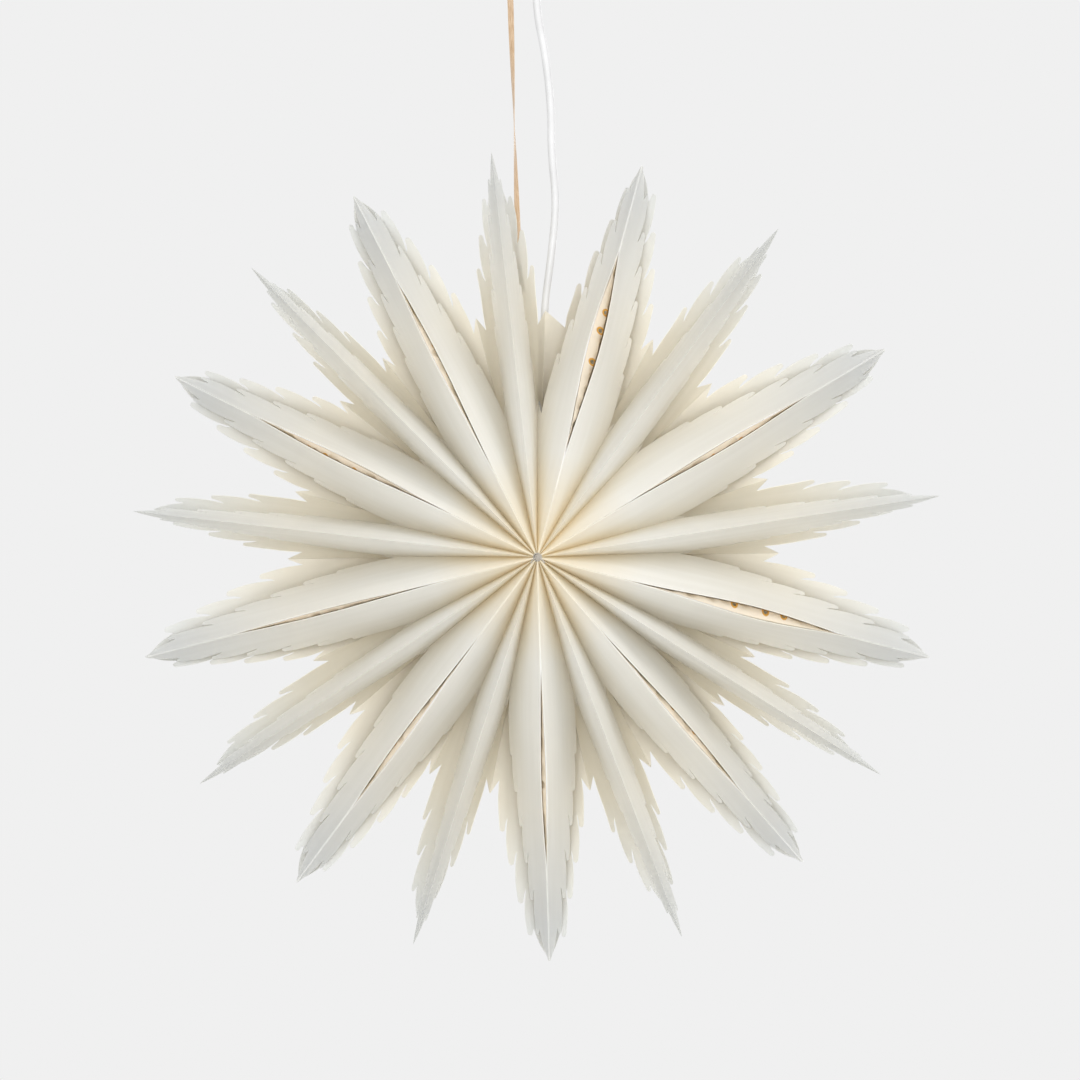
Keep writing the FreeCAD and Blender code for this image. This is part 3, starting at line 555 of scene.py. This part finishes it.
def paper_material(name, near, middle, far, valley, through, shares):
    """White card with painted shade: warmer towards the hub and down in the pleats, greyer at the tips.

    near, middle and far are its colours from hub to tips: painted warm shade, the card's own colour and painted
    grey shade;
    valley paints shade in the pleats' bottoms, and through tints the light that comes through, a share that
    goes from shares[0] near the hub to shares[1].
    """
    material, tree, shader = new_material(name)
    coords = tree.nodes.new("ShaderNodeTexCoord")
    shift = tree.nodes.new("ShaderNodeVectorMath")
    shift.operation = "SUBTRACT"
    shift.inputs[1].default_value = CENTRE * MM
    link(tree, coords.outputs["Object"], shift.inputs[0])
    flatten = tree.nodes.new("ShaderNodeVectorMath")
    flatten.operation = "MULTIPLY"
    flatten.inputs[1].default_value = (1, 0, 1)
    link(tree, shift.outputs[0], flatten.inputs[0])
    reach = tree.nodes.new("ShaderNodeVectorMath")
    reach.operation = "LENGTH"
    link(tree, flatten.outputs[0], reach.inputs[0])
    scaled = tree.nodes.new("ShaderNodeMath")
    scaled.operation = "DIVIDE"
    scaled.inputs[1].default_value = TIP_RADIUS * MM
    link(tree, reach.outputs["Value"], scaled.inputs[0])
    # painted shade across the radius: warm near the hub, the card's own colour in the middle, grey at the tips
    body = ramp(tree, scaled.outputs[0], [(0.02, near), (0.26, middle), (0.62, middle), (0.92, far)])
    # painted shade in the pleats' bottoms, strongest near the hub and gone two thirds of the way out
    fold = attribute(tree, "fold")
    pleat_shade = ramp(tree, fold.outputs["Fac"], [(0.0, (1, 1, 1)), (0.45, (1, 1, 1)), (1.0, valley)])
    pleat_shade_fade_stops = [(0.0, (1, 1, 1)), (0.1, (0.75, 0.75, 0.75)), (0.3, (0.4, 0.4, 0.4)), (0.66, (0.0, 0.0, 0.0))]
    pleat_shade_fade = ramp(tree, scaled.outputs[0], pleat_shade_fade_stops)
    folded = mixed(tree, "MULTIPLY", pleat_shade_fade.outputs["Color"], body.outputs["Color"], pleat_shade.outputs["Color"])
    streak = noise_node(tree, 0.05, 4.0, (0.22, 3.2, 1.0), attribute(tree, "grain").outputs["Vector"])
    mottle = ramp(tree, streak.outputs["Fac"], [(0.3, (0.965, 0.963, 0.955)), (0.7, (1.0, 1.0, 1.0))])
    colour = mixed(tree, "MULTIPLY", None, folded, mottle.outputs["Color"])
    # painted amber shade round the punched holes
    hole_shade_mask = attribute(tree, "hole_shade")
    hole_shade_colour = tree.nodes.new("ShaderNodeRGB")
    hole_shade_colour.outputs[0].default_value = HOLE_SHADE_AMBER
    colour = mixed(tree, "MIX", hole_shade_mask.outputs["Fac"], colour, hole_shade_colour.outputs[0])
    link(tree, colour, shader.inputs["Base Color"])
    fibre = noise_node(tree, 2600.0, 3.0)
    rough = ramp(tree, fibre.outputs["Fac"], [(0.3, (0.62, 0.62, 0.62)), (0.7, (0.82, 0.82, 0.82))])
    link(tree, rough.outputs["Color"], shader.inputs["Roughness"])
    shader.inputs["Specular IOR Level"].default_value = PAPER_SPECULAR
    waves = bump(tree, streak.outputs["Fac"], 0.2, 0.0004)
    link(tree, bump(tree, fibre.outputs["Fac"], 0.06, 0.00005, waves), shader.inputs["Normal"])
    glow = tree.nodes.new("ShaderNodeBsdfTranslucent")
    tinted = tree.nodes.new("ShaderNodeMix")
    tinted.data_type = "RGBA"
    tinted.blend_type = "MULTIPLY"
    tinted.inputs["Factor"].default_value = 1.0
    tinted.inputs["B"].default_value = (*through, 1)
    link(tree, colour, tinted.inputs["A"])
    link(tree, tinted.outputs["Result"], glow.inputs["Color"])
    share = ramp(tree, scaled.outputs[0], [(0.1, (shares[0],) * 3), (0.85, (shares[1],) * 3)])
    both = tree.nodes.new("ShaderNodeMixShader")
    link(tree, share.outputs["Color"], both.inputs["Fac"])
    link(tree, shader.outputs[0], both.inputs[1])
    link(tree, glow.outputs[0], both.inputs[2])
    link(tree, both.outputs[0], tree.nodes["Material Output"].inputs["Surface"])
    return material


def plain_material(name, colour, dark, rough, grain, depth=0.00005, metallic=0.0):
    """Moulded or metal finish: slight colour variation, uneven roughness and fine grain."""
    material, tree, shader = new_material(name)
    tone = noise_node(tree, grain * 0.08, 4.0)
    shade = ramp(tree, tone.outputs["Fac"], [(0.3, dark), (0.62, colour)])
    link(tree, shade.outputs["Color"], shader.inputs["Base Color"])
    fine = noise_node(tree, grain, 3.0)
    low, high = rough
    gloss = ramp(tree, fine.outputs["Fac"], [(0.3, (low,) * 3), (0.7, (high,) * 3)])
    link(tree, gloss.outputs["Color"], shader.inputs["Roughness"])
    link(tree, bump(tree, fine.outputs["Fac"], 0.15, depth), shader.inputs["Normal"])
    shader.inputs["Metallic"].default_value = metallic
    return material


def ribbon_material():
    material, tree, shader = new_material("satin_ribbon")
    threads = noise_node(tree, 900.0, 2.0, (6.0, 6.0, 0.12))
    browns = [(0.3, (0.40, 0.25, 0.13)), (0.55, (0.60, 0.42, 0.26)), (0.75, (0.80, 0.66, 0.50))]
    shade = ramp(tree, threads.outputs["Fac"], browns)
    link(tree, shade.outputs["Color"], shader.inputs["Base Color"])
    weave = noise_node(tree, 3800.0, 2.0, (0.3, 0.3, 1.0))
    gloss = ramp(tree, weave.outputs["Fac"], [(0.3, (0.3, 0.3, 0.3)), (0.7, (0.5, 0.5, 0.5))])
    link(tree, gloss.outputs["Color"], shader.inputs["Roughness"])
    link(tree, bump(tree, weave.outputs["Fac"], 0.3, 0.0001), shader.inputs["Normal"])
    shader.inputs["Sheen Weight"].default_value = 0.35
    shader.inputs["Anisotropic"].default_value = 0.4
    return material


def glass_material():
    material, tree, shader = new_material("frosted_glass")
    cloud = noise_node(tree, 120.0, 3.0)
    shade = ramp(tree, cloud.outputs["Fac"], [(0.3, (0.9, 0.9, 0.88)), (0.7, (0.97, 0.97, 0.95))])
    link(tree, shade.outputs["Color"], shader.inputs["Base Color"])
    fine = noise_node(tree, 2400.0, 2.0)
    frost = ramp(tree, fine.outputs["Fac"], [(0.3, (0.38, 0.38, 0.38)), (0.7, (0.55, 0.55, 0.55))])
    link(tree, frost.outputs["Color"], shader.inputs["Roughness"])
    shader.inputs["Transmission Weight"].default_value = 0.6
    return material


# Lit and shaded copies of one white card, each with painted shade; the side sheets and the inner faces are also
# warmer all over as painted shade deep between the sheets
PAPER_OUT = paper_material(
    "white_paper_painted_shade", (0.93, 0.84, 0.65), (0.96, 0.95, 0.905), (0.862, 0.872, 0.872),
    (0.86, 0.77, 0.58), (1.0, 0.985, 0.94), (0.18, 0.44),
)
PAPER_SIDE = paper_material(
    "side_paper_painted_shade", (0.92, 0.8, 0.58), (0.96, 0.89, 0.77), (0.92, 0.87, 0.77),
    (0.88, 0.8, 0.64), (1.0, 0.95, 0.85), (0.2, 0.4),
)
PAPER_IN = paper_material(
    "paper_inside_painted_shade", (0.92, 0.8, 0.56), (0.96, 0.93, 0.86), (0.87, 0.88, 0.875),
    (0.88, 0.8, 0.63), (1.0, 0.975, 0.92), (0.16, 0.44),
)
PAPER_BACK = paper_material(
    "back_paper_painted_shade", (0.95, 0.87, 0.7), (0.955, 0.93, 0.87), (0.862, 0.872, 0.87),
    (0.93, 0.885, 0.79), (1.0, 0.985, 0.95), (0.5, 0.44),
)
THREAD = plain_material("cotton_thread", (0.5, 0.46, 0.4), (0.3, 0.27, 0.23), (0.75, 0.95), 1800.0, 0.0002)
CLOSURE = plain_material("hook_and_loop", (0.88, 0.88, 0.86), (0.72, 0.72, 0.7), (0.8, 1.0), 1500.0, 0.0006)
FLEX = plain_material("white_flex", (0.70, 0.70, 0.70), (0.64, 0.64, 0.64), (0.34, 0.48), 700.0)
PLASTIC = plain_material("white_plastic", (0.9, 0.9, 0.88), (0.85, 0.85, 0.83), (0.28, 0.42), 900.0)
CERAMIC = plain_material("glazed_ceramic", (0.92, 0.91, 0.87), (0.86, 0.85, 0.8), (0.12, 0.2), 500.0)
BRASS = plain_material("stamped_brass", (0.82, 0.64, 0.3), (0.66, 0.48, 0.2), (0.24, 0.4), 700.0, metallic=1.0)
NICKEL = plain_material("nickel_plate", (0.74, 0.73, 0.71), (0.6, 0.59, 0.57), (0.2, 0.36), 700.0, metallic=1.0)
STEEL = plain_material("zinc_plate", (0.7, 0.71, 0.73), (0.56, 0.57, 0.6), (0.28, 0.46), 500.0, metallic=1.0)
CUP = plain_material("matt_white_cup", (0.76, 0.76, 0.75), (0.72, 0.72, 0.71), (0.42, 0.55), 1100.0)
RIBBON = ribbon_material()
GLASS = glass_material()

CAD_FINISH = {
    "ribbon_tab": PAPER_OUT, "closure_dots": CLOSURE,
    "cord_nipple": PLASTIC, "holder_cap": PLASTIC, "holder_body": PLASTIC, "holder_ring": PLASTIC,
    "holder_insert": CERAMIC, "contact_tongue": BRASS, "screw_shell": BRASS,
    "bulb_cap": NICKEL, "bulb_tip": BRASS, "bulb_globe": GLASS,
    "ceiling_hook": STEEL, "hanging_link": STEEL, "hanger_eye": STEEL, "eye_nuts": STEEL,
    "crossbar": STEEL, "cup_screws": STEEL, "ribbon_eye": STEEL,
    "canopy_cup": CUP, "cord_gland": PLASTIC, "gland_nut": PLASTIC, "terminal_block": PLASTIC,
}
for node_name, finish in CAD_FINISH.items():
    for material_slot in nodes[node_name].material_slots:
        material_slot.material = finish


# ---- camera: the photograph's frame, turned by its small roll ----
CAMERA_DISTANCE = 2.2
FRAME_WIDTH = 0.8035
ROLL = math.radians(1.8)
AIM_RIGHT = 0.0019
AIM_UP = 0.0123
camera_right = Vector((math.cos(ROLL), 0, -math.sin(ROLL)))
camera_up = Vector((math.sin(ROLL), 0, math.cos(ROLL)))
aim = CENTRE * MM + camera_right * AIM_RIGHT + camera_up * AIM_UP
camera_data = bpy.data.cameras.new("camera")
camera_data.sensor_width = 36.0
camera_data.lens = 36.0 * CAMERA_DISTANCE / FRAME_WIDTH
camera = bpy.data.objects.new("camera", camera_data)
bpy.context.scene.collection.objects.link(camera)
camera.location = aim - Vector((0, CAMERA_DISTANCE, 0))
camera.rotation_euler = (math.pi / 2, ROLL, 0)
bpy.context.scene.camera = camera


# ---- lamp cord, from the lampholder's nipple to the gland in the ceiling cup ----
CORD_RADIUS = 0.0028
CORD_POINTS = (     # from the star's centre
    (1.0, 18.0, 72.0), (1.0, 18.0, 83.0), (3.2, 24.5, 95.0), (6.2, 32.2, 107.0), (7.8, 32.4, 121.0),
    (8.8, 26.2, 137.0), (9.8, 17.5, 160.0), (11.0, 10.0, 186.0), (18.0, 7.0, 228.0), (22.5, 6.0, 265.0),
    (19.6, 6.2, 300.0), (20.8, 7.2, 335.0), (17.2, 8.2, 378.0), (12.0, 8.0, 405.0), (12.0, 8.0, 432.0),
)


def nurbs_line(name, points, radius):
    curve = bpy.data.curves.new(name, "CURVE")
    curve.dimensions = "3D"
    curve.resolution_u = 12
    curve.bevel_depth = radius
    curve.bevel_resolution = 8
    curve.use_fill_caps = True
    spline = curve.splines.new("NURBS")
    spline.points.add(len(points) - 1)
    for point, co in zip(spline.points, points):
        point.co = (*co, 1)
    spline.order_u = 3
    spline.use_endpoint_u = True
    obj = bpy.data.objects.new(name, curve)
    bpy.context.scene.collection.objects.link(obj)
    return obj


cord_line = [(CENTRE + Vector(p)) * MM for p in CORD_POINTS]
cord = nurbs_line("lamp_flex", cord_line, CORD_RADIUS)
cord.data.materials.append(FLEX)
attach(cord, "pendant")
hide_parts("lamp_cord")


# ---- ribbon: a flat band that twists as it rises ----
RIBBON_X = -7.2
RIBBON_WIDTH = 4.5
RIBBON_THICK = 0.35
RIBBON_CUP = 0.25           # how far its middle stands off its edges
RIBBON_RINGS = 90
RIBBON_ACROSS = 6
RIBBON_START = 0.012        # it starts this far above the solid's lower end, in metres
ribbon_low, ribbon_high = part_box("hanging_ribbon")
RIBBON_Y = (ribbon_low[1] + ribbon_high[1]) / 2
RIBBON_BOTTOM = ribbon_low[2] + RIBBON_START
RIBBON_TOP = ribbon_high[2]
FLAT_UP_TO = -0.280         # height at which the twist starts, in metres
QUARTER_TURN = 0.097        # rise in which it turns by 90 degrees


def ribbon_mesh():
    bm = bmesh.new()
    rings = []
    path = []
    for k in range(RIBBON_RINGS + 1):
        z = RIBBON_BOTTOM + (RIBBON_TOP - RIBBON_BOTTOM) * k / RIBBON_RINGS
        turn = max(0.0, (z - FLAT_UP_TO) / QUARTER_TURN) * math.pi / 2
        wide = Vector((math.cos(turn), math.sin(turn), 0))
        thin = Vector((-math.sin(turn), math.cos(turn), 0))
        centre = Vector((RIBBON_X * MM, RIBBON_Y, z))
        path.append(tuple(centre))
        ring = []
        for face in (-1, 1):
            for n in range(RIBBON_ACROSS + 1):
                s = (n / RIBBON_ACROSS * 2 - 1) * -face
                lift = RIBBON_CUP * (1 - s * s) + face * RIBBON_THICK / 2
                spot = centre + wide * (s * RIBBON_WIDTH / 2 * MM) + thin * (lift * MM)
                ring.append(bm.verts.new(spot))
        rings.append(ring)
    for a, b in zip(rings, rings[1:]):
        for n in range(len(a)):
            m = (n + 1) % len(a)
            bm.faces.new((a[n], a[m], b[m], b[n]))
    bm.faces.new(rings[0])
    bm.faces.new(rings[-1])
    bmesh.ops.recalc_face_normals(bm, faces=bm.faces)
    mesh = bpy.data.meshes.new("ribbon")
    bm.to_mesh(mesh)
    bm.free()
    obj = bpy.data.objects.new("ribbon", mesh)
    bpy.context.scene.collection.objects.link(obj)
    crease(obj, RIBBON_CREASE)
    return obj, path


ribbon, ribbon_path = ribbon_mesh()
ribbon.data.materials.append(RIBBON)
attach(ribbon, "pendant")
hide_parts("hanging_ribbon")


# ---- small tied pieces, in metres ----
THREAD_RADIUS = 0.00045
WOUND_STEPS = 10            # points in a turn
UNEVEN = 0.08               # how much a winding's radius varies


def wound(name, centre, axis, radius, thread, turns, pitch):
    """Thread wound round an axis, as a curve piece."""
    side_a = axis.orthogonal().normalized()
    side_b = axis.cross(side_a).normalized()
    points = []
    for k in range(int(turns * WOUND_STEPS) + 1):
        turn = 2 * math.pi * k / WOUND_STEPS
        swell = 1 + UNEVEN * math.sin(turn * 0.37 + radius)
        outward = side_a * math.cos(turn) + side_b * math.sin(turn)
        points.append(centre + outward * (radius * swell) + axis * (pitch * k / WOUND_STEPS))
    obj = nurbs_line(name, points, thread)
    obj.data.bevel_resolution = 4
    obj.data.resolution_u = 4
    return obj


def thread_tie(side):
    """Windings, knot and two loose ends where the thread closes the hub, front (-1) or back (1)."""
    name = "back_knot" if side > 0 else "front_knot"
    corner = CENTRE * MM + Vector((0, side * HUB_HALF_DEPTH * MM, 0))
    out = Vector((0, side, 0))
    winding = wound(name + "_winding", corner - out * 0.0030, out, 0.0027, THREAD_RADIUS, 4.5, 0.00095)
    cap = wound(name + "_cap", corner + out * 0.0014, out, 0.0014, 0.00065, 3.2, 0.00055)
    ball = wound(name, corner + out * 0.0020, Vector((1, 0, 0)), 0.0016, 0.0007, 3.4, 0.0005)
    ends = []
    for k, lean in enumerate((-1, 1)):
        start = corner + out * 0.0028
        points = [
            start,
            start + Vector((lean * 0.0016, side * 0.0016, -0.0004)),
            start + Vector((lean * 0.0036, side * 0.0018, -0.0016)),
            start + Vector((lean * 0.0048, side * 0.0006, -0.0042)),
        ]
        end = nurbs_line("%s_end_%d" % (name, k + 1), points, THREAD_RADIUS)
        end.data.bevel_resolution = 4
        ends.append(end)
    for piece in (winding, cap, ball, *ends):
        piece.data.materials.append(THREAD)
        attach(piece, "pendant")
    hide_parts("back_tie" if side > 0 else "front_tie")


thread_tie(-1)
thread_tie(1)


def ribbon_knot():
    """Soft knot: two windings across each other."""
    low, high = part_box("ribbon_knot")
    middle = (Vector(low) + Vector(high)) / 2
    over_start = middle + Vector((0, 0, -0.0012))
    over = wound("ribbon_knot_soft", over_start, Vector((0, 0, 1)), 0.0016, 0.0011, 2.6, 0.0009)
    loop_start = middle + Vector((-0.0006, 0, 0))
    loop = wound("ribbon_knot_wrap", loop_start, Vector((1, 0, 0)), 0.0013, 0.0009, 1.9, 0.0007)
    for piece in (over, loop):
        piece.data.materials.append(RIBBON)
        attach(piece, "pendant")
    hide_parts("ribbon_knot")
    return over, loop


knot_pieces = ribbon_knot()

# ---- paper star ----
for bag in range(BAGS):
    wall(bag, -1, (PAPER_OUT, PAPER_IN))
    wall(bag, 1, (PAPER_OUT, PAPER_BACK))
    side_sheets(bag, (PAPER_SIDE, PAPER_IN))


# ---- light and background ----
FLOOR_Z = -1.9
FLOOR_RADIUS = 4.6
FLOOR_SIDES = 96
LIT_SPOT = (0, 0, -0.5)     # the lamps point at the star
SKY_COLOUR = (0.98, 0.985, 1.0, 1)
SKY_STRENGTH = 0.86
SEEN_GREY = (0.871, 0.871, 0.871, 1)


def area_light(name, spot, size, power, colour):
    data = bpy.data.lights.new(name, "AREA")
    data.size = size
    data.energy = power
    data.color = colour
    lamp = bpy.data.objects.new(name, data)
    bpy.context.scene.collection.objects.link(lamp)
    lamp.location = spot
    lamp.rotation_euler = (Vector(LIT_SPOT) - Vector(spot)).to_track_quat("-Z", "Y").to_euler()


area_light("key", (1.3, -1.5, 0.9), 1.2, 14.0, (1.0, 0.99, 0.97))
area_light("front", (-0.2, -2.7, -0.4), 1.6, 30.0, (1.0, 1.0, 0.995))
area_light("rear", (0.4, 2.4, 0.1), 1.6, 24.0, (1.0, 0.995, 0.98))

floor_mesh = bpy.data.meshes.new("floor")
floor_turns = [2 * math.pi * k / FLOOR_SIDES for k in range(FLOOR_SIDES)]
floor_rim = [(FLOOR_RADIUS * math.cos(a), FLOOR_RADIUS * math.sin(a), FLOOR_Z) for a in floor_turns]
floor_mesh.from_pydata(floor_rim, [], [range(FLOOR_SIDES)])
floor = bpy.data.objects.new("floor", floor_mesh)
bpy.context.scene.collection.objects.link(floor)
floor_mesh.materials.append(plain_material("pale_floor", (0.8, 0.8, 0.79), (0.77, 0.77, 0.76), (0.6, 0.7), 6.0))

world = bpy.data.worlds.new("studio")
bpy.context.scene.world = world
world.use_nodes = True
tree = world.node_tree
sky = tree.nodes["Background"]
sky.inputs["Color"].default_value = SKY_COLOUR
sky.inputs["Strength"].default_value = SKY_STRENGTH
seen = tree.nodes.new("ShaderNodeBackground")
seen.inputs["Color"].default_value = SEEN_GREY
seen.inputs["Strength"].default_value = 1.0
rays = tree.nodes.new("ShaderNodeLightPath")
choose = tree.nodes.new("ShaderNodeMixShader")
link(tree, rays.outputs["Is Camera Ray"], choose.inputs["Fac"])
link(tree, sky.outputs[0], choose.inputs[1])
link(tree, seen.outputs[0], choose.inputs[2])
link(tree, choose.outputs[0], tree.nodes["World Output"].inputs["Surface"])
bpy.context.scene.view_settings.view_transform = "Standard"
